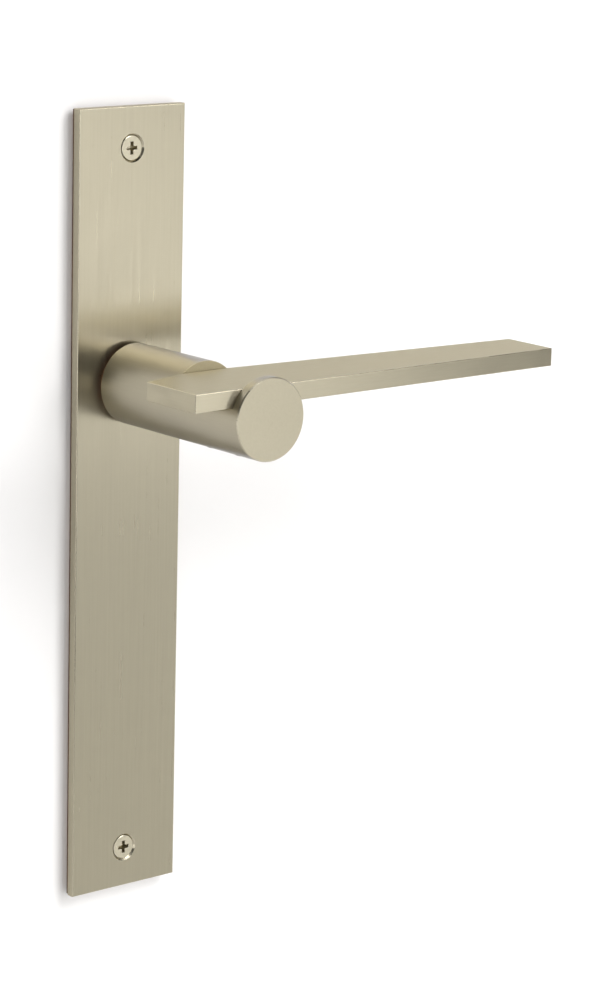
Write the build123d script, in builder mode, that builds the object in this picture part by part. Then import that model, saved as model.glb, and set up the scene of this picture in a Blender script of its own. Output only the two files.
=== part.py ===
from build123d import *
import math
import os

# Flat-bar door lever on a long backplate: one side's complete half set.
# Millimetres. +Z up the plate, +X towards the lever tip, +Y into the door.
# Origin: the spindle axis where it crosses the door face (back of the plate).

# --- driving dimensions -----------------------------------------------------
plate_width = 38.4
plate_height = 240.0
plate_thick = 3.6
plate_top = 82.1                      # spindle axis to the top edge
plate_edge_radius = 0.35
plate_screw_inset = 12.3              # from the top and from the bottom edge
seal_thick = 0.9                      # rubber ring in a rebate round the plate's back
seal_width = 3.0
seal_inset = 0.25                     # from the plate's outline
seal_clearance = 0.03

head_sink = 0.3                       # screw head below the plate's front
head_rim_radius = 3.65
countersink_radius = 4.3
screw_hole_radius = 2.3
recess_span = 3.9                     # cross recess, arm to arm
recess_arm = 1.15
recess_core = 1.9

barrel_radius = 12.2
barrel_rear = -5.5                    # barrel's door-side rim
barrel_nose = -70.4                   # barrel's end disc

bar_front = -67.3                     # straight front edge of the lever bar
bar_wall = -40.0                      # its rear edge where it crosses the barrel
bar_tail_x = -24.6
bar_tail_rear = -44.6
bar_tip_x = 112.4
bar_tip_rear = -48.1
bar_low = 3.8
bar_high = 9.3
bar_edge_radius = 0.3
seat_gap = 0.15                       # visible joint line around the bar
floor_gap = 0.05

spindle_size = 8.0
spindle_inner = -36.0
spindle_outer = 52.0
spindle_bore = 8.2
spindle_bore_end = -36.6

journal_radius = 7.5
journal_end = 3.4
bush_bore = journal_radius + 0.03     # running fit
bush_outer = 9.5
bush_flange_radius = 10.6
bush_flange_front = -4.9

washer_radius = 11.4
washer_bore = 7.7
dish_radius = 10.8
dish_bore = 7.75
dish_sheet = 0.35

clip_outer = 8.9
clip_lug = (2.1, -8.6)                # centre of one lug; the other is its mirror image
clip_lug_radius = 1.45
clip_lug_hole = 0.6
clip_groove_radius = 6.7
clip_front = 1.8
clip_back = 2.8

boss_radius = 17.4                    # cassette, fits a 35 mm hole in the door
chamber_radius = 13.2
housing_back = 10.6
cover_front = 10.65
cover_back = 12.25
cassette_screw_circle = 15.3
cassette_screw_radius = 1.25

hub_flange_front = 4.0
hub_flange_back = 5.4
hub_flange_radius = 10.9
hub_core_radius = 8.2
hub_journal_radius = 7.4
cover_bush_radius = 8.6
hub_end = 12.6
tooth_radius = 12.9
tooth_half_angle = 9.0
lug_radius = 11.2
travel = 45.0
stop_clearance = 0.3                  # degrees, tooth to buffer at each end
buffer_angle = 4.2
lug_angle = 14.0

spring_radius = 9.7
spring_wire = 0.6                     # wire radius
spring_pitch = 1.42
spring_start = 6.15
spring_turns = 2.25

grub_y = -20.0
bar_screw_ys = (-47.0, -60.0)
dowel_xs = (-6.2, 6.2)
dowel_y = -53.5

front_y = -plate_thick
plate_low = plate_top - plate_height
plate_screw_zs = (plate_top - plate_screw_inset, plate_low + plate_screw_inset)
cassette_screw_points = [
    (cassette_screw_circle * math.cos(math.radians(a)),
     cassette_screw_circle * math.sin(math.radians(a)))
    for a in (45, 135, 225, 315)
]


# --- helpers ----------------------------------------------------------------
def across(y):
    """Sketch plane at depth y, facing the door: sketch x is +X, sketch y is -Z."""
    return Plane(origin=(0, y, 0), x_dir=(1, 0, 0), z_dir=(0, 1, 0))


def at(x, z):
    """A point of the row's XZ plane in the axes of across()."""
    return (x, -z)


def level(z):
    """Horizontal sketch plane at height z: sketch x is +X, sketch y is +Y."""
    return Plane(origin=(0, 0, z), x_dir=(1, 0, 0), z_dir=(0, 0, 1))


def under(y, z, x=0.0):
    """Horizontal sketch plane centred over a hole drilled up from below."""
    return Plane(origin=(x, y, z), x_dir=(1, 0, 0), z_dir=(0, 0, 1))


def sector(inner, outer, start, end, steps=8):
    """Corner points of a ring sector, angles counted from +X towards +Z."""
    angles = [start + (end - start) * i / steps for i in range(steps + 1)]
    outside = [at(outer * math.cos(math.radians(a)), outer * math.sin(math.radians(a)))
               for a in angles]
    inside = [at(inner * math.cos(math.radians(a)), inner * math.sin(math.radians(a)))
              for a in reversed(angles)]
    return outside + inside


def write(part, name):
    part.label = name
    export_step(part, "parts/" + name + ".step")


# --- backplate --------------------------------------------------------------
def backplate():
    middle = (plate_top + plate_low) / 2
    with BuildPart() as plate:
        with BuildSketch(across(front_y)):
            with Locations(at(0, middle)):
                Rectangle(plate_width, plate_height)
        extrude(amount=plate_thick)
        fillet(plate.faces().sort_by(Axis.Y)[0].edges(), plate_edge_radius)
        # rebate for the seal, all round the back
        with BuildSketch(across(0)):
            with Locations(at(0, middle)):
                Rectangle(plate_width + 1, plate_height + 1)
                Rectangle(plate_width - 2 * (seal_inset + seal_width + seal_clearance),
                          plate_height - 2 * (seal_inset + seal_width + seal_clearance),
                          mode=Mode.SUBTRACT)
        extrude(amount=-seal_thick - seal_clearance, mode=Mode.SUBTRACT)
        # hole for the neck's bush
        with BuildSketch(across(front_y)):
            Circle(bush_outer + 0.02)
        extrude(amount=plate_thick, mode=Mode.SUBTRACT)
        # blind tapped holes for the cassette screws
        with BuildSketch(across(0)):
            with Locations([at(x, z) for x, z in cassette_screw_points]):
                Circle(cassette_screw_radius + 0.03)
        extrude(amount=-2.7, mode=Mode.SUBTRACT)
        # countersunk holes for the two fixing screws
        for z in plate_screw_zs:
            with BuildSketch(Plane(origin=(0, front_y, z), x_dir=(1, 0, 0), z_dir=(0, 1, 0))):
                Circle(screw_hole_radius)
            extrude(amount=plate_thick, mode=Mode.SUBTRACT)
            depth = countersink_radius - screw_hole_radius
            with BuildSketch(Plane(origin=(0, 0, z), x_dir=(1, 0, 0), z_dir=(0, 0, 1))):
                with BuildLine():
                    Polyline((0, front_y - 0.1), (countersink_radius + 0.1, front_y - 0.1),
                             (screw_hole_radius, front_y + depth), (0, front_y + depth),
                             close=True)
                make_face()
            revolve(axis=Axis((0, 0, z), (0, 1, 0)), mode=Mode.SUBTRACT)
    write(plate.part, "backplate")


def backing_seal():
    """Flat rubber ring between the plate's rim and the door."""
    middle = (plate_top + plate_low) / 2
    with BuildPart() as seal:
        with BuildSketch(across(-seal_thick)):
            with Locations(at(0, middle)):
                Rectangle(plate_width - 2 * seal_inset, plate_height - 2 * seal_inset)
                Rectangle(plate_width - 2 * (seal_inset + seal_width),
                          plate_height - 2 * (seal_inset + seal_width), mode=Mode.SUBTRACT)
        extrude(amount=seal_thick)
    write(seal.part, "backing_seal")


def plate_screws():
    """Two countersunk cross-recess wood screws, 4 mm by 32 mm, heads a little below the face."""
    head = front_y + head_sink
    rim, shank, root = head_rim_radius, 2.0, 1.7
    with BuildPart() as screws:
        for z in plate_screw_zs:
            with BuildSketch(Plane(origin=(0, 0, z), x_dir=(1, 0, 0), z_dir=(0, 0, 1))):
                with BuildLine():
                    Polyline((0, head), (rim - 0.15, head), (rim, head + 0.1),
                             (rim, head + 0.15), (shank, head + 0.15 + rim - shank),
                             (shank, front_y + 8.1), (root, front_y + 8.5),
                             (root, front_y + 27.6), (0.25, front_y + 32.1),
                             (0, front_y + 32.1), close=True)
                make_face()
            revolve(axis=Axis((0, 0, z), (0, 1, 0)))
        for z in plate_screw_zs:
            # cross recess: two crossing slots and a core, narrowing into the head
            face = Plane(origin=(0, head, z), x_dir=(1, 0, 0), z_dir=(0, 1, 0))
            for length, width, turn in ((recess_span, recess_arm, 0), (recess_span, recess_arm, 90),
                                        (recess_core, recess_core, 45)):
                with BuildSketch(face):
                    Rectangle(length, width, rotation=turn)
                extrude(amount=1.9, taper=10, mode=Mode.SUBTRACT)
    write(screws.part, "plate_screws")


# --- bearing of the neck in the plate ---------------------------------------
def neck_bush():
    """Flanged nylon bush pushed into the plate from the front."""
    with BuildPart() as bush:
        with BuildSketch(level(0)):
            with BuildLine():
                Polyline((bush_bore, bush_flange_front), (bush_flange_radius, bush_flange_front),
                         (bush_flange_radius, front_y), (bush_outer, front_y),
                         (bush_outer, 0), (bush_bore, 0), close=True)
            make_face()
        revolve(axis=Axis.Y)
    write(bush.part, "neck_bush")


def thrust_washer():
    with BuildPart() as washer:
        with BuildSketch(across(0.05)):
            Circle(washer_radius)
            Circle(washer_bore, mode=Mode.SUBTRACT)
        extrude(amount=0.75)
    write(washer.part, "thrust_washer")


def dished_washer():
    """Dished spring washer that takes up the neck's end play."""
    with BuildPart() as washer:
        with BuildSketch(level(0)):
            with BuildLine():
                Polyline((dish_radius, 0.85), (dish_radius, 0.85 + dish_sheet),
                         (dish_bore, 1.37 + dish_sheet), (dish_bore, 1.37), close=True)
            make_face()
        revolve(axis=Axis.Y)
    write(washer.part, "dished_washer")


def circlip():
    """Retaining ring in the journal's groove, opening at the bottom."""
    x, z = clip_lug
    with BuildPart() as clip:
        with BuildSketch(across(clip_front)):
            Circle(clip_outer)
            with Locations(at(x, z), at(-x, z)):
                Circle(clip_lug_radius)
            Circle(clip_groove_radius + 0.05, mode=Mode.SUBTRACT)
            with Locations(at(0, z)):
                Rectangle(1.5, 6, mode=Mode.SUBTRACT)
            with Locations(at(x, z), at(-x, z)):
                Circle(clip_lug_hole, mode=Mode.SUBTRACT)
        extrude(amount=clip_back - clip_front)
    write(clip.part, "circlip")


# --- spring cassette behind the plate ---------------------------------------
def cassette_housing():
    rest_edge = 90 + tooth_half_angle + stop_clearance
    far_edge = 90 - travel - tooth_half_angle - stop_clearance
    with BuildPart() as housing:
        with BuildSketch(across(0.02)):
            Circle(boss_radius)
            Circle(chamber_radius, mode=Mode.SUBTRACT)
            with Locations([at(x, z) for x, z in cassette_screw_points]):
                Circle(cassette_screw_radius + 0.1, mode=Mode.SUBTRACT)
        extrude(amount=housing_back - 0.02)
        # two stop lugs on the chamber wall, beside the hub's tooth
        for start in (rest_edge + buffer_angle, far_edge - buffer_angle - lug_angle):
            with BuildSketch(across(hub_flange_front - 0.3)):
                Polygon(*sector(lug_radius, chamber_radius + 0.4, start, start + lug_angle),
                        align=None)
            extrude(amount=hub_flange_back - hub_flange_front + 0.6)
    write(housing.part, "cassette_housing")


def stop_buffers():
    """Two small rubber pads, one on each lug, that the tooth lands on."""
    rest_edge = 90 + tooth_half_angle + stop_clearance
    far_edge = 90 - travel - tooth_half_angle - stop_clearance
    with BuildPart() as pads:
        for start in (rest_edge, far_edge - buffer_angle):
            with BuildSketch(across(hub_flange_front - 0.1)):
                Polygon(*sector(lug_radius + 0.1, chamber_radius - 0.05,
                                start + 0.05, start + buffer_angle - 0.05), align=None)
            extrude(amount=hub_flange_back - hub_flange_front + 0.2)
    write(pads.part, "stop_buffers")


def cassette_cover(tang):
    with BuildPart() as cover:
        with BuildSketch(across(cover_front)):
            Circle(boss_radius)
            Circle(cover_bush_radius + 0.02, mode=Mode.SUBTRACT)
            with Locations([at(x, z) for x, z in cassette_screw_points]):
                Circle(cassette_screw_radius + 0.1, mode=Mode.SUBTRACT)
            with Locations(at(*tang)):
                Circle(spring_wire + 0.1, mode=Mode.SUBTRACT)
        extrude(amount=cover_back - cover_front)
        chamfer(cover.faces().sort_by(Axis.Y)[-1].outer_wire().edges(), 0.4)
    write(cover.part, "cassette_cover")


def cover_bush():
    """Nylon ring in the cover; the hub's rear journal turns in it."""
    with BuildPart() as ring:
        with BuildSketch(across(cover_front)):
            Circle(cover_bush_radius)
            Circle(hub_journal_radius + 0.04, mode=Mode.SUBTRACT)
        extrude(amount=cover_back - cover_front)
    write(ring.part, "cover_bush")


def cassette_screws():
    """Four M2.5 pan-head screws through cover and housing into the plate."""
    head = cover_back + 0.03
    with BuildPart() as screws:
        for x, z in cassette_screw_points:
            spot = Plane(origin=(x, -2.6, z), x_dir=(1, 0, 0), z_dir=(0, 1, 0))
            with BuildSketch(spot):
                Circle(cassette_screw_radius)
            extrude(amount=head + 2.6)
            with BuildSketch(spot.offset(head + 2.6)):
                Circle(2.05)
            extrude(amount=1.45, taper=8)
        for x, z in cassette_screw_points:
            for turn in (0, 90):
                top = Plane(origin=(x, head + 1.45, z), x_dir=(1, 0, 0), z_dir=(0, 1, 0))
                with BuildSketch(top):
                    Rectangle(2.4, 0.55, rotation=turn)
                extrude(amount=-0.95, taper=14, mode=Mode.SUBTRACT)
    write(screws.part, "cassette_screws")


def spring_seat(tang):
    """Nylon ring between the coil and the cover."""
    with BuildPart() as seat:
        with BuildSketch(across(9.98)):
            Circle(12.8)
            Circle(hub_core_radius + 0.3, mode=Mode.SUBTRACT)
            with Locations(at(*tang)):
                Circle(spring_wire + 0.1, mode=Mode.SUBTRACT)
        extrude(amount=0.6)
    write(seat.part, "spring_seat")


def return_spring():
    """Torsion spring; a straight tang at each end runs parallel to the axis."""
    coil_length = spring_pitch * spring_turns
    with BuildPart() as spring:
        with BuildLine():
            wire = Helix(pitch=spring_pitch, height=coil_length, radius=spring_radius,
                         center=(0, spring_start, 0), direction=(0, 1, 0))
        with BuildSketch(Plane(origin=wire @ 0, z_dir=wire % 0)):
            Circle(spring_wire)
        sweep()
        start, end = wire @ 0, wire @ 1
        for point, low, high in ((start, hub_flange_front + 0.1, start.Y + 0.35),
                                 (end, end.Y - 0.35, cover_back - 0.3)):
            foot = Plane(origin=(point.X, low, point.Z), x_dir=(1, 0, 0), z_dir=(0, 1, 0))
            with BuildSketch(foot):
                Circle(spring_wire - 0.04)
            extrude(amount=high - low)
    write(spring.part, "return_spring")
    return (start.X, start.Z), (end.X, end.Z)


def drive_hub(tang):
    """Hub on the spindle: flange with the stop tooth, core, rear journal."""
    with BuildPart() as hub:
        with BuildSketch(across(hub_flange_front)):
            Circle(hub_flange_radius)
            Polygon(*sector(hub_flange_radius - 1.0, tooth_radius,
                            90 - tooth_half_angle, 90 + tooth_half_angle), align=None)
        extrude(amount=hub_flange_back - hub_flange_front)
        with BuildSketch(across(hub_flange_back)):
            Circle(hub_core_radius)
        extrude(amount=10.55 - hub_flange_back)
        with BuildSketch(across(10.55)):
            Circle(hub_journal_radius)
        extrude(amount=hub_end - 10.55)
        with BuildSketch(across(hub_flange_front)):
            Rectangle(spindle_bore, spindle_bore)
        extrude(amount=hub_end - hub_flange_front, mode=Mode.SUBTRACT)
        with BuildSketch(across(hub_flange_front)):
            with Locations(at(*tang)):
                Circle(spring_wire + 0.06)
        extrude(amount=hub_flange_back - hub_flange_front, mode=Mode.SUBTRACT)
    write(hub.part, "drive_hub")


# --- lever ------------------------------------------------------------------
def neck():
    """Round barrel with a journal, an open-topped notch and a square bore."""
    length = barrel_rear - barrel_nose
    with BuildPart() as barrel:
        with BuildSketch(across(barrel_nose)):
            Circle(barrel_radius)
        extrude(amount=length)
        chamfer(barrel.faces().sort_by(Axis.Y)[0].edges(), 0.3)
        chamfer(barrel.faces().sort_by(Axis.Y)[-1].edges(), 0.4)
        with BuildSketch(across(barrel_rear)):
            Circle(journal_radius)
        extrude(amount=journal_end - barrel_rear)
        # notch that the bar lies in
        notch_front, notch_back = bar_front - seat_gap, bar_wall + seat_gap
        with BuildSketch(level(bar_low - floor_gap)):
            with Locations((0, (notch_front + notch_back) / 2)):
                Rectangle(2 * barrel_radius + 2, notch_back - notch_front)
        extrude(amount=barrel_radius, mode=Mode.SUBTRACT)
        # square bore for the spindle
        with BuildSketch(across(spindle_bore_end)):
            Rectangle(spindle_bore, spindle_bore)
        extrude(amount=journal_end - spindle_bore_end, mode=Mode.SUBTRACT)
        # groove for the retaining ring
        with BuildSketch(across(clip_front - 0.05)):
            Circle(journal_radius + 1)
            Circle(clip_groove_radius, mode=Mode.SUBTRACT)
        extrude(amount=clip_back - clip_front + 0.1, mode=Mode.SUBTRACT)
        # tapped hole for the grub screw, from below
        with BuildSketch(under(grub_y, -barrel_radius - 1)):
            Circle(3.0)
        extrude(amount=barrel_radius + 1 - spindle_size / 2, mode=Mode.SUBTRACT)
        # counterbored holes for the two bar screws, from below
        for y in bar_screw_ys:
            with BuildSketch(under(y, -barrel_radius - 1)):
                Circle(3.7)
            extrude(amount=5.0, mode=Mode.SUBTRACT)
            with BuildSketch(under(y, -barrel_radius - 1)):
                Circle(2.15)
            extrude(amount=barrel_radius + 1 + bar_low, mode=Mode.SUBTRACT)
        # dowel holes in the notch floor
        for x in dowel_xs:
            with BuildSketch(under(dowel_y, -2.2, x)):
                Circle(1.52)
            extrude(amount=2.2 + bar_low, mode=Mode.SUBTRACT)
    write(barrel.part, "neck")


def lever_bar():
    with BuildPart() as bar:
        reach = math.sqrt(barrel_radius ** 2 - bar_high ** 2)
        with BuildSketch(level(bar_low)):
            with BuildLine():
                Polyline((bar_tail_x, bar_front), (bar_tip_x, bar_front),
                         (bar_tip_x, bar_tip_rear), (reach, bar_wall), (-reach, bar_wall),
                         (bar_tail_x, bar_tail_rear), close=True)
            make_face()
        extrude(amount=bar_high - bar_low)
        fillet(bar.edges(), bar_edge_radius)
        for y in bar_screw_ys:
            with BuildSketch(under(y, bar_low)):
                Circle(2.0)
            extrude(amount=4.3, mode=Mode.SUBTRACT)
        for x in dowel_xs:
            with BuildSketch(under(dowel_y, bar_low, x)):
                Circle(1.52)
            extrude(amount=4.0, mode=Mode.SUBTRACT)
    write(bar.part, "lever_bar")


def bar_screws():
    """Two M4 socket-head screws that draw the bar down into the notch."""
    seat = -barrel_radius + 4.0
    with BuildPart() as screws:
        for y in bar_screw_ys:
            with BuildSketch(under(y, seat - 3.6)):
                Circle(3.5)
                RegularPolygon(1.5, 6, major_radius=False, mode=Mode.SUBTRACT)
            extrude(amount=2.0)
            with BuildSketch(under(y, seat - 1.6)):
                Circle(3.5)
            extrude(amount=1.57)
            with BuildSketch(under(y, seat - 0.1)):
                Circle(1.95)
            extrude(amount=-seat + 7.8)
    write(screws.part, "bar_screws")


def bar_dowels():
    with BuildPart() as dowels:
        for x in dowel_xs:
            with BuildSketch(under(dowel_y, -2.0, x)):
                Circle(1.5)
            extrude(amount=9.5)
    write(dowels.part, "bar_dowels")


def grub_screw():
    """M6 grub screw with a hexagon socket; clamps the spindle in the neck."""
    low, high = -barrel_radius + 0.9, -spindle_size / 2 - 0.02
    with BuildPart() as grub:
        with BuildSketch(under(grub_y, low)):
            Circle(2.95)
        extrude(amount=high - low)
        chamfer(grub.faces().sort_by(Axis.Z)[-1].edges(), 0.6)
        with BuildSketch(under(grub_y, low)):
            RegularPolygon(1.5, 6, major_radius=False)
        extrude(amount=3.2, mode=Mode.SUBTRACT)
    write(grub.part, "grub_screw")


def spindle():
    with BuildPart() as bar:
        with BuildSketch(across(spindle_inner)):
            Rectangle(spindle_size, spindle_size)
        extrude(amount=spindle_outer - spindle_inner)
        chamfer(bar.edges().filter_by(Axis.Y), 0.4)
        chamfer(bar.faces().sort_by(Axis.Y)[-1].edges(), 0.6)
    write(bar.part, "spindle")


os.makedirs("parts", exist_ok=True)
backplate()
backing_seal()
plate_screws()
neck_bush()
thrust_washer()
dished_washer()
circlip()
cassette_housing()
stop_buffers()
hub_tang, cover_tang = return_spring()
cassette_cover(cover_tang)
cover_bush()
cassette_screws()
spring_seat(cover_tang)
drive_hub(hub_tang)
neck()
lever_bar()
bar_screws()
bar_dowels()
grub_screw()
spindle()
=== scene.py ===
import math

import bpy
from mathutils import Matrix, Vector


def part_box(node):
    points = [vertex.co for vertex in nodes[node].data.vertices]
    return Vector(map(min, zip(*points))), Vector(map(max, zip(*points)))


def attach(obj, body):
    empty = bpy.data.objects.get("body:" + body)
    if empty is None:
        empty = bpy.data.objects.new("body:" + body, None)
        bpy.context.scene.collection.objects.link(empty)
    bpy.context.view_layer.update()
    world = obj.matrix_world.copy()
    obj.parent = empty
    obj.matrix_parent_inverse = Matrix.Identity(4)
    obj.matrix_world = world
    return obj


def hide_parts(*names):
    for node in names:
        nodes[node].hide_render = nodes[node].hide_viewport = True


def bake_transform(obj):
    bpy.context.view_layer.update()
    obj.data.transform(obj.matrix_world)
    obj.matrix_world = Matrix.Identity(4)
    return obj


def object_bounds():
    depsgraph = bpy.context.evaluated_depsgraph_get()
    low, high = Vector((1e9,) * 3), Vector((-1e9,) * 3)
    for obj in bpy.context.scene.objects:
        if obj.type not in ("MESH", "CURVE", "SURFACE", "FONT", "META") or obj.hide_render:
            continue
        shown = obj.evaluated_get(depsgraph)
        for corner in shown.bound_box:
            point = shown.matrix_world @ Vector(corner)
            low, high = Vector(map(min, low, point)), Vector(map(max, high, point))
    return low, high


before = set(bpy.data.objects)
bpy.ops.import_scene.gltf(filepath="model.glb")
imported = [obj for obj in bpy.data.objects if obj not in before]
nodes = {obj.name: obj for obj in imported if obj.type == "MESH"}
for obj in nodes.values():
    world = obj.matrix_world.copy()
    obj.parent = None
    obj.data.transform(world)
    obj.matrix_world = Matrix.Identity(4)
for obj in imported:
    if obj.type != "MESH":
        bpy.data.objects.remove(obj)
cad_low, cad_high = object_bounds()

MM = 0.001

plate_low, plate_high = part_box("backplate")


# --- node helpers -------------------------------------------------------------
class Nodes:
    """A small wrapper that adds and links shader nodes in the tree of a material or a world."""

    def __init__(self, owner, output="ShaderNodeOutputMaterial"):
        owner.use_nodes = True
        self.tree = owner.node_tree
        self.tree.nodes.clear()
        self.output = self.add(output)

    def add(self, kind, inputs=None, **settings):
        node = self.tree.nodes.new(kind)
        for name, value in settings.items():
            setattr(node, name, value)
        for name, value in (inputs or {}).items():
            self.set(node, name, value)
        return node

    def set(self, node, name, value):
        if isinstance(value, bpy.types.NodeSocket):
            self.tree.links.new(value, node.inputs[name])
        else:
            node.inputs[name].default_value = value

    def math(self, operation, a, b=0.0, clamp=False):
        node = self.add("ShaderNodeMath", {0: a, 1: b}, operation=operation, use_clamp=clamp)
        return node.outputs[0]

    def noise(self, vector, scale, detail=2.0, roughness=0.5):
        node = self.add("ShaderNodeTexNoise",
                        {"Vector": vector, "Scale": scale, "Detail": detail, "Roughness": roughness})
        return node.outputs["Fac"]

    def stretched(self, coordinates, scale):
        node = self.add("ShaderNodeMapping", {"Vector": coordinates, "Scale": scale})
        return node.outputs["Vector"]

    def ramp(self, factor, low, high, out_low=0.0, out_high=1.0):
        node = self.add("ShaderNodeMapRange", {"Value": factor, "From Min": low, "From Max": high,
                                               "To Min": out_low, "To Max": out_high})
        return node.outputs["Result"]

    def mix_color(self, factor, a, b):
        node = self.add("ShaderNodeMix", data_type="RGBA")
        self.set(node, 0, factor)
        self.set(node, 6, a)
        self.set(node, 7, b)
        return node.outputs[2]


def colour(r, g, b):
    return (r, g, b, 1.0)


BEVEL_SAMPLES = 6


def painted_highlight_edges(n, radius):
    """1 on sharp edges and 0 on flats, from the bent normal beside an edge; the metals paint a
    highlight there with a lighter colour.
    """
    bevel = n.add("ShaderNodeBevel", {"Radius": radius}, samples=BEVEL_SAMPLES)
    true_normal = n.add("ShaderNodeNewGeometry").outputs["Normal"]
    facing = n.add("ShaderNodeVectorMath", {0: bevel.outputs["Normal"], 1: true_normal},
                   operation="DOT_PRODUCT")
    return n.ramp(facing.outputs["Value"], 0.995, 0.9)


# --- metals -------------------------------------------------------------------
NICKEL = (0.415, 0.379, 0.285)
# painted highlight: the lighter colour painted on edges and chamfers
NICKEL_EDGE_HIGHLIGHT = (0.60, 0.55, 0.43)
NICKEL_GRAZING = (0.85, 0.82, 0.73)   # keeps the warm tone where the metal is seen at a low angle
NECK_GRAZING = (0.82, 0.85, 1.0)      # cooler, because the barrel reflects the warm plate
CLOUD_SCALE = 55.0                    # soft patches of tone, about 18 mm apart
SPECK_SCALE = 2600.0                  # fine specks between the brush lines
FINE_RATIO = 2.7                      # how much finer the second layer of grain is
GRAIN_TONE, CLOUD_TONE = 0.6, 0.4     # shares of grain and patches in the tone
GRAIN_LIFT, FINE_LIFT, SPECK_LIFT = 0.55, 0.35, 0.10   # shares of each layer in the height
GRAIN_ROUGHNESS, CLOUD_ROUGHNESS = 0.05, 0.025         # how far each layer moves the roughness
EDGE_HIGHLIGHT, EDGE_SHINE = 0.6, 0.08     # how much lighter (a painted highlight) and smoother the edges are


def flat_share(n, axes):
    """How squarely a face looks along the nearest of the axes, in the object's own frame."""
    split = n.add("ShaderNodeSeparateXYZ", {0: n.add("ShaderNodeTexCoord").outputs["Normal"]})
    share = n.math("ABSOLUTE", split.outputs[axes[0]])
    for axis in axes[1:]:
        share = n.math("MAXIMUM", share, n.math("ABSOLUTE", split.outputs[axis]))
    return share


def painted_rim_highlight(n, axes):
    """1 on chamfers and rounded edges, 0 on faces square to the axes (and on a barrel's side); the
    metals paint a highlight there.
    """
    share = flat_share(n, axes)
    rim = n.ramp(share, 0.96, 0.88)
    if len(axes) == 1:
        rim = n.math("MULTIPLY", rim, n.ramp(share, 0.3, 0.5))
    return rim


def brushed_metal(name, base, edge, grain_scale, roughness, end_axis=None, end_grain=None,
                  grain_depth=0.02, edge_radius=0.4 * MM, lines_along=None, streak=0.0,
                  contrast=0.09, rims=None, grazing=(1, 1, 1)):
    """Satin metal with fine brush lines.

    base is the colour of flats, edge the lighter colour painted on edges as a highlight, grazing the
    tint at low angles.
    grain_scale stretches the grain: large across the lines and small along them.
    grain_depth is the grain's height in mm, and contrast how far it varies the colour.
    end_axis and end_grain give faces across that axis their own direction of brushing.
    lines_along is the axis that the lines follow, and streak is how much wider reflections
    spread across the lines than along them. rims names the axes that the faces are square
    to, so that rounded edges and chamfers between them get the painted highlight too.
    """
    material = bpy.data.materials.new(name)
    n = Nodes(material)
    place = n.add("ShaderNodeTexCoord").outputs["Object"]
    grain = n.noise(n.stretched(place, grain_scale), 1.0, detail=3.0, roughness=0.65)
    fine = n.noise(n.stretched(place, [s * FINE_RATIO for s in grain_scale]), 1.0, detail=2.0)
    if end_axis is not None:
        facing_end = n.ramp(flat_share(n, end_axis), 0.85, 0.95)
        end = n.noise(n.stretched(place, end_grain), 1.0, detail=3.0, roughness=0.65)
        mixed = n.add("ShaderNodeMix", data_type="FLOAT")
        n.set(mixed, 0, facing_end)
        n.set(mixed, 2, grain)
        n.set(mixed, 3, end)
        grain = mixed.outputs[0]
    cloud = n.noise(place, CLOUD_SCALE, detail=4.0, roughness=0.6)
    speck = n.noise(place, SPECK_SCALE, detail=1.0)
    # painted highlight: edges and chamfers get a lighter colour, and a lower roughness
    painted_edge_highlight = painted_highlight_edges(n, edge_radius)
    if rims:
        painted_edge_highlight = n.math("MAXIMUM", painted_edge_highlight, painted_rim_highlight(n, rims))
    tone = n.math("ADD", n.math("MULTIPLY", grain, GRAIN_TONE), n.math("MULTIPLY", cloud, CLOUD_TONE))
    dark = colour(*[c * (1 - contrast) for c in base])
    light = colour(*[min(1.0, c * (1 + contrast)) for c in base])
    tint = n.mix_color(n.ramp(tone, 0.3, 0.7), dark, light)
    # painted highlight: the edge colour mixed in on edges and chamfers
    tint = n.mix_color(n.math("MULTIPLY", painted_edge_highlight, EDGE_HIGHLIGHT), tint, colour(*edge))
    rough = n.math("ADD", n.ramp(grain, 0.25, 0.75, roughness - GRAIN_ROUGHNESS,
                                 roughness + GRAIN_ROUGHNESS),
                   n.ramp(cloud, 0.3, 0.7, -CLOUD_ROUGHNESS, CLOUD_ROUGHNESS))
    rough = n.math("SUBTRACT", rough, n.math("MULTIPLY", painted_edge_highlight, EDGE_SHINE))
    height = n.math("ADD", n.math("MULTIPLY", grain, GRAIN_LIFT), n.math("MULTIPLY", fine, FINE_LIFT))
    height = n.math("ADD", height, n.math("MULTIPLY", speck, SPECK_LIFT))
    bump = n.add("ShaderNodeBump", {"Height": height, "Strength": 1.0,
                                    "Distance": grain_depth * MM})
    shader = n.add("ShaderNodeBsdfPrincipled", {
        "Base Color": tint, "Roughness": rough, "Metallic": 1.0,
        "Normal": bump.outputs["Normal"], "Specular Tint": colour(*grazing)})
    if lines_along:
        tangent = n.add("ShaderNodeTangent", direction_type="RADIAL", axis=lines_along)
        n.set(shader, "Tangent", tangent.outputs[0])
    n.set(shader, "Anisotropic", streak)
    n.set(n.output, "Surface", shader.outputs[0])
    return material


def cast_metal(name, base, roughness):
    """Zinc casting: grainy skin with dull and brighter patches."""
    material = bpy.data.materials.new(name)
    n = Nodes(material)
    place = n.add("ShaderNodeTexCoord").outputs["Object"]
    skin = n.noise(place, 1400.0, detail=4.0, roughness=0.7)
    patch = n.noise(place, 140.0, detail=3.0)
    # painted highlight: edges of the casting get a lighter colour
    painted_edge_highlight = painted_highlight_edges(n, 0.5 * MM)
    tint = n.mix_color(n.ramp(patch, 0.35, 0.65), colour(*[c * 0.8 for c in base]), colour(*base))
    tint = n.mix_color(painted_edge_highlight, tint, colour(*[min(1.0, c * 1.5) for c in base]))
    bump = n.add("ShaderNodeBump", {"Height": skin, "Strength": 0.6, "Distance": 0.05 * MM})
    shader = n.add("ShaderNodeBsdfPrincipled", {
        "Base Color": tint, "Roughness": n.ramp(skin, 0.3, 0.7, roughness - 0.08, roughness + 0.08),
        "Metallic": 1.0, "Normal": bump.outputs["Normal"]})
    n.set(n.output, "Surface", shader.outputs[0])
    return material


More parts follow.
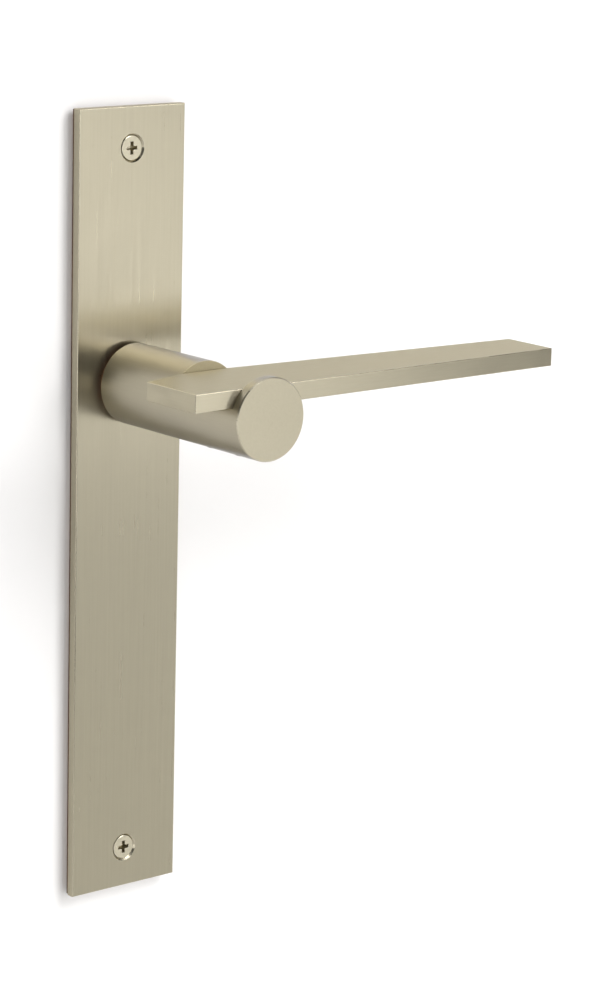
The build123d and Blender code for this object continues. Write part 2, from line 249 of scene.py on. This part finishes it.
def moulded(name, base, roughness, grain=900.0, depth=0.02):
    """Moulded nylon or rubber: faint texture (depth in mm), slightly mottled."""
    material = bpy.data.materials.new(name)
    n = Nodes(material)
    place = n.add("ShaderNodeTexCoord").outputs["Object"]
    skin = n.noise(place, grain, detail=3.0)
    patch = n.noise(place, 120.0, detail=2.0)
    tint = n.mix_color(n.ramp(patch, 0.3, 0.7), colour(*[c * 0.88 for c in base]), colour(*base))
    bump = n.add("ShaderNodeBump", {"Height": skin, "Strength": 0.5, "Distance": depth * MM})
    shader = n.add("ShaderNodeBsdfPrincipled", {
        "Base Color": tint, "Roughness": n.ramp(skin, 0.3, 0.7, roughness - 0.06, roughness + 0.06),
        "Normal": bump.outputs["Normal"]})
    n.set(n.output, "Surface", shader.outputs[0])
    return material


plate_metal = brushed_metal("plate_nickel", NICKEL, NICKEL_EDGE_HIGHLIGHT, (1500, 1500, 26), 0.32,
                            grain_depth=0.004, lines_along="Z", streak=0.87, contrast=0.06, rims="XYZ",
                            grazing=NICKEL_GRAZING)
neck_metal = brushed_metal("neck_nickel", NICKEL, NICKEL_EDGE_HIGHLIGHT, (2600, 110, 2600), 0.38,
                           end_axis="Y", end_grain=(1300, 60, 1300), lines_along="Y",
                           contrast=0.06, rims="Y", grazing=NECK_GRAZING)
bar_metal = brushed_metal("bar_nickel", NICKEL, NICKEL_EDGE_HIGHLIGHT, (110, 2600, 2600), 0.33,
                          end_axis="X", end_grain=(2600, 60, 2600), lines_along="X",
                          streak=0.8, contrast=0.06, rims="XYZ", grazing=NICKEL_GRAZING)
screw_metal = brushed_metal("screw_nickel", (0.50, 0.46, 0.35), (0.75, 0.71, 0.58),
                            (1500, 1500, 1500), 0.34, grazing=NICKEL_GRAZING)
steel = brushed_metal("zinc_plated_steel", (0.60, 0.61, 0.62), (0.75, 0.75, 0.76),
                      (900, 200, 900), 0.32)
spring_steel = brushed_metal("spring_steel", (0.30, 0.30, 0.31), (0.5, 0.5, 0.5),
                             (1200, 1200, 1200), 0.30)
black_steel = brushed_metal("black_steel", (0.035, 0.035, 0.04), (0.12, 0.12, 0.13),
                            (1200, 1200, 1200), 0.42)
zinc = cast_metal("zinc_casting", (0.42, 0.43, 0.45), 0.48)
white_nylon = moulded("white_nylon", (0.78, 0.77, 0.72), 0.45)
# painted shade: the neck bush is coloured dark brown to stand for the shade in the gap between barrel
# and plate
dark_nylon = moulded("dark_nylon", (0.36, 0.12, 0.025), 0.5)
# painted shadow: the backing seal is a dark sheet standing for the shadow line at the plate's rear edge
seal_rubber = moulded("seal_rubber", (0.095, 0.040, 0.014), 0.75, grain=1400.0)
rubber = moulded("buffer_rubber", (0.03, 0.03, 0.03), 0.7)

FINISH = {
    "backplate": plate_metal, "backing_seal": seal_rubber, "neck": neck_metal, "lever_bar": bar_metal,
    "plate_screws": screw_metal, "neck_bush": dark_nylon, "thrust_washer": steel,
    "dished_washer": spring_steel, "circlip": spring_steel, "cassette_housing": zinc,
    "stop_buffers": rubber, "return_spring": spring_steel, "cassette_cover": steel,
    "cover_bush": white_nylon, "cassette_screws": steel, "spring_seat": white_nylon,
    "drive_hub": zinc, "bar_screws": black_steel, "bar_dowels": steel,
    "grub_screw": black_steel, "spindle": steel,
}
for name, material in FINISH.items():
    mesh = nodes[name].data
    mesh.materials.clear()
    mesh.materials.append(material)


# --- wound and threaded pieces ----------------------------------------------------
def shaded(name, points, faces, material):
    """A smooth-shaded mesh object."""
    mesh = bpy.data.meshes.new(name)
    mesh.from_pydata(points, [], faces)
    mesh.materials.append(material)
    mesh.shade_smooth()
    piece = bpy.data.objects.new(name, mesh)
    bpy.context.scene.collection.objects.link(piece)
    return piece


END_SCALE = 0.75                      # a wire's end face, as a share of its full width


def tube(name, path, radius, material, sides=20):
    """Round wire along a path, its ends closed with a small chamfer."""
    rings = [(path[0], END_SCALE), *[(p, 1.0) for p in path], (path[-1], END_SCALE)]
    tangents = [(path[min(i + 1, len(path) - 1)] - path[max(i - 1, 0)]).normalized()
                for i in range(len(path))]
    tangents = [tangents[0], *tangents, tangents[-1]]
    lift = radius * (1 - END_SCALE)
    points, faces = [], []
    side = tangents[0].orthogonal().normalized()
    for k, (place, scale) in enumerate(rings):
        along = tangents[k]
        side = (side - along * side.dot(along)).normalized()
        other = along.cross(side)
        shift = -lift if k == 1 else lift if k == len(rings) - 2 else 0.0
        centre = place - along * shift
        for i in range(sides):
            turn = 2 * math.pi * i / sides
            points.append(centre + radius * scale * (side * math.cos(turn) + other * math.sin(turn)))
    for k in range(len(rings) - 1):
        for i in range(sides):
            j = (i + 1) % sides
            faces.append((k * sides + i, k * sides + j, (k + 1) * sides + j, (k + 1) * sides + i))
    faces.append(tuple(reversed(range(sides))))
    faces.append(tuple(range((len(rings) - 1) * sides, len(rings) * sides)))
    return shaded(name, points, faces, material)


def tang_centre(mesh, deepest):
    """Middle of the spring's straight end that reaches furthest towards (or from) the door."""
    limit = max(v.co.y for v in mesh.vertices) if deepest else min(v.co.y for v in mesh.vertices)
    rim = [v.co for v in mesh.vertices if abs(v.co.y - limit) < 0.02 * MM]
    return sum(rim, Vector()) / len(rim)


def return_spring():
    """Torsion spring: coil between two straight tangs, with a bent corner at each."""
    mesh = nodes["return_spring"].data
    hub_end, cover_end = tang_centre(mesh, False), tang_centre(mesh, True)
    coil_radius = math.hypot(hub_end.x, hub_end.z)
    wire = 0.6 * MM
    coil_start, pitch, turns = 6.15 * MM, 1.42 * MM, 2.25
    corner = 1.1 * MM
    first = math.atan2(hub_end.z, hub_end.x)
    last = math.atan2(cover_end.z, cover_end.x)
    sweep = 2 * math.pi * turns
    way = 1 if abs(math.remainder(first + sweep - last, 2 * math.pi)) < 0.1 else -1
    coil_steps, corner_steps, tang_steps = 150, 8, 4

    def on_coil(angle, y):
        return Vector((coil_radius * math.cos(first + way * angle), y,
                       coil_radius * math.sin(first + way * angle)))

    bend = corner / coil_radius
    tang_length = coil_start - corner - hub_end.y
    path = [Vector((hub_end.x, hub_end.y + tang_length * k / tang_steps, hub_end.z))
            for k in range(tang_steps)]
    for k in range(corner_steps + 1):
        turn = math.pi / 2 * k / corner_steps
        path.append(on_coil(bend * (1 - math.cos(turn)), coil_start - corner * (1 - math.sin(turn))))
    for k in range(1, coil_steps):
        angle = bend + (sweep - 2 * bend) * k / coil_steps
        path.append(on_coil(angle, coil_start + pitch * turns * k / coil_steps))
    coil_end = coil_start + pitch * turns
    for k in range(corner_steps + 1):
        turn = math.pi / 2 * k / corner_steps
        path.append(on_coil(sweep - bend * (1 - math.sin(turn)),
                            coil_end + corner * (1 - math.cos(turn))))
    for k in range(1, tang_steps + 1):
        y = coil_end + corner + (cover_end.y - coil_end - corner) * k / tang_steps
        path.append(Vector((cover_end.x, y, cover_end.z)))
    spring = tube("wound_spring", path, wire, spring_steel)
    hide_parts("return_spring")
    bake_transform(spring)


def screw_thread(name, z, start, end, core, crest, pitch):
    """Rolled thread on a screw's shank: a ridge that winds round it and runs out at both ends."""
    sides, rows_per_turn = 36, 12
    ridge_half_width = 0.3            # as a share of the pitch
    rows = int((end - start) / pitch * rows_per_turn)
    points, faces = [], []
    for k in range(rows + 1):
        y = start + (end - start) * k / rows
        fade = min(1.0, k / rows_per_turn, (rows - k) / rows_per_turn)
        for i in range(sides):
            phase = (k / rows_per_turn + i / sides) % 1.0
            ridge = max(0.0, 1.0 - abs(phase - 0.5) / ridge_half_width) * fade
            reach = core + (crest - core) * ridge
            turn = 2 * math.pi * i / sides
            points.append((reach * math.cos(turn), y, z + reach * math.sin(turn)))
    for k in range(rows):
        for i in range(sides):
            j = (i + 1) % sides
            faces.append((k * sides + i, (k + 1) * sides + i, (k + 1) * sides + j, k * sides + j))
    thread = shaded(name, points, faces, screw_metal)
    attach(thread, "plate")


return_spring()
screw_low, screw_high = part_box("plate_screws")
head_radius = (screw_high.x - screw_low.x) / 2
head_and_neck, screw_tip = 8.6 * MM, 4.6 * MM      # the lengths without thread
for name, z in (("screw_thread_low", screw_low.z + head_radius),
                ("screw_thread_high", screw_high.z - head_radius)):
    screw_thread(name, z, screw_low.y + head_and_neck, screw_high.y - screw_tip,
                 core=1.66 * MM, crest=2.1 * MM, pitch=1.4 * MM)


# --- wall and floor -------------------------------------------------------------
FLOOR_Z = cad_low.z - 0.30
FLOOR_REACH = 1.1
WALL_GAP = 1.5 * MM                   # from the plate's back to the wall
WALL_COVER = 1.5 * MM                 # how far the plate covers the edge of the cut-out
WALL_LEFT, WALL_RIGHT, WALL_TOP = -0.45, 0.50, 0.50


def sheet(name, points, faces, material):
    """A flat piece of the stage, which isn't part of the handle."""
    mesh = bpy.data.meshes.new(name)
    mesh.from_pydata(points, [], faces)
    mesh.materials.append(material)
    piece = bpy.data.objects.new(name, mesh)
    bpy.context.scene.collection.objects.link(piece)


def pale_wall():
    """White in front, with a faint glow; from behind it lets the view through."""
    material = bpy.data.materials.new("stage_wall")
    n = Nodes(material)
    pale = n.add("ShaderNodeBsdfDiffuse", {"Color": colour(0.88, 0.87, 0.865)})
    glow = n.add("ShaderNodeEmission", {"Color": colour(1.0, 0.99, 0.985), "Strength": 0.09})
    white = n.add("ShaderNodeAddShader", {0: pale.outputs[0], 1: glow.outputs[0]})
    clear = n.add("ShaderNodeBsdfTransparent")
    behind = n.add("ShaderNodeNewGeometry").outputs["Backfacing"]
    mixed = n.add("ShaderNodeMixShader", {0: behind, 1: white.outputs[0], 2: clear.outputs[0]})
    n.set(n.output, "Surface", mixed.outputs[0])
    return material


def wall():
    """Wall just behind the plate, cut out under it, and short enough to look past from the side."""
    y = plate_high.y + WALL_GAP
    left, right = plate_low.x + WALL_COVER, plate_high.x - WALL_COVER
    bottom, top = plate_low.z + WALL_COVER, plate_high.z - WALL_COVER
    inner = [(left, bottom), (right, bottom), (right, top), (left, top)]
    outer = [(WALL_LEFT, FLOOR_Z), (WALL_RIGHT, FLOOR_Z), (WALL_RIGHT, WALL_TOP), (WALL_LEFT, WALL_TOP)]
    points = [(x, y, z) for x, z in inner + outer]
    faces = [(k, 4 + k, 4 + (k + 1) % 4, (k + 1) % 4) for k in range(4)]
    sheet("stage_wall", points, faces, pale_wall())


def floor():
    """Pale floor with a faint glow, because the lamps are aimed at the handle, not at it."""
    material = bpy.data.materials.new("stage_floor")
    n = Nodes(material)
    pale = n.add("ShaderNodeBsdfDiffuse", {"Color": colour(0.6, 0.6, 0.59)})
    glow = n.add("ShaderNodeEmission", {"Color": colour(1.0, 0.99, 0.97), "Strength": 0.22})
    lit = n.add("ShaderNodeAddShader", {0: pale.outputs[0], 1: glow.outputs[0]})
    n.set(n.output, "Surface", lit.outputs[0])
    corners = [(-1, -1), (1, -1), (1, 1), (-1, 1)]
    points = [(x * FLOOR_REACH, y * FLOOR_REACH, FLOOR_Z) for x, y in corners]
    sheet("stage_floor", points, [(0, 1, 2, 3)], material)


wall()
floor()


# --- light ------------------------------------------------------------------------
LIGHT_DISTANCE = 1.6
LIGHT_RADIANCE = 10.0                 # watts per square metre of a lamp of strength 1


def softbox(name, azimuth, elevation, strength, width=24.0, height=20.0):
    """Soft lamp aimed at the handle, placed and sized in degrees as the handle sees it.

    Azimuth runs from +X (0) over the front (90) to -X (180); -90 is behind the plate.
    """
    around, above = math.radians(azimuth), math.radians(elevation)
    direction = Vector((math.cos(around) * math.cos(above), -math.sin(around) * math.cos(above),
                        math.sin(above)))
    light = bpy.data.lights.new(name, "AREA")
    light.shape = "RECTANGLE"
    light.size = 2 * LIGHT_DISTANCE * math.tan(math.radians(width / 2))
    light.size_y = 2 * LIGHT_DISTANCE * math.tan(math.radians(height / 2))
    light.energy = strength * LIGHT_RADIANCE * light.size * light.size_y
    lamp = bpy.data.objects.new(name, light)
    lamp.location = direction * LIGHT_DISTANCE
    lamp.rotation_euler = (-direction).to_track_quat("-Z", "Y").to_euler()
    lamp.visible_camera = False
    bpy.context.scene.collection.objects.link(lamp)


def sky():
    """Even pale backdrop for the views that look past the wall; it gives no light."""
    world = bpy.data.worlds.new("studio")
    bpy.context.scene.world = world
    n = Nodes(world, "ShaderNodeOutputWorld")
    background = n.add("ShaderNodeBackground", {"Color": colour(1.0, 1.0, 1.0), "Strength": 0.8})
    n.set(n.output, "Surface", background.outputs[0])
    world.cycles_visibility.diffuse = False
    world.cycles_visibility.glossy = False


sky()
softbox("right_low", 20, -12, 0.58)
softbox("front_low", 59, -11, 0.48, 22)
softbox("front_band", 59, -9, 0.56, 22, 6)
softbox("left_low", 150, -15, 0.30)
softbox("left_front", 127, -6, 0.7)
softbox("right_level", 34, 5, 0.12, 14)
softbox("front_level", 80, 5, 1.5)
softbox("right_high", 59, 25, 2.25, 22)
softbox("left_high", 110, 25, 0.20)
softbox("right_top", 45, 45, 0.5)
softbox("front_top", 75, 45, 2.6)
# behind the wall: these light what the wall hides from the camera
softbox("rear_right", -40, 20, 0.9, 60, 50)
softbox("rear_left", -140, 20, 0.9, 60, 50)
softbox("rear_middle", -90, 10, 0.5, 40, 60)


# --- camera -----------------------------------------------------------------------
IMAGE_HEIGHT = 998                    # pixels, the longer side of the 616 x 998 image
SENSOR_MM = 36.0                      # the sensor's side that the image height fills
FOCAL_LENGTH_PX = 3252.8


def camera():
    """At the viewer's place: left of the handle, a little above it, looking slightly down."""
    place = Vector((-570.1, -767.6, 183.2)) * MM
    yaw, pitch, roll = 0.6977, 0.2247, 0.0251
    forward = Vector((math.sin(yaw) * math.cos(pitch), math.cos(yaw) * math.cos(pitch),
                      -math.sin(pitch)))
    level = Vector((math.cos(yaw), -math.sin(yaw), 0.0))
    above = level.cross(forward)
    right = math.cos(roll) * level + math.sin(roll) * above
    up = -math.sin(roll) * level + math.cos(roll) * above
    data = bpy.data.cameras.new("camera")
    data.sensor_fit = "AUTO"
    data.sensor_width = SENSOR_MM
    data.lens = SENSOR_MM * FOCAL_LENGTH_PX / IMAGE_HEIGHT
    data.clip_start, data.clip_end = 0.01, 20.0
    eye = bpy.data.objects.new("camera", data)
    turn = Matrix((right, up, -forward)).transposed()
    eye.matrix_world = Matrix.Translation(place) @ turn.to_4x4()
    bpy.context.scene.collection.objects.link(eye)
    bpy.context.scene.camera = eye


camera()
bpy.context.scene.view_settings.view_transform = "Standard"
bpy.context.scene.view_settings.look = "None"
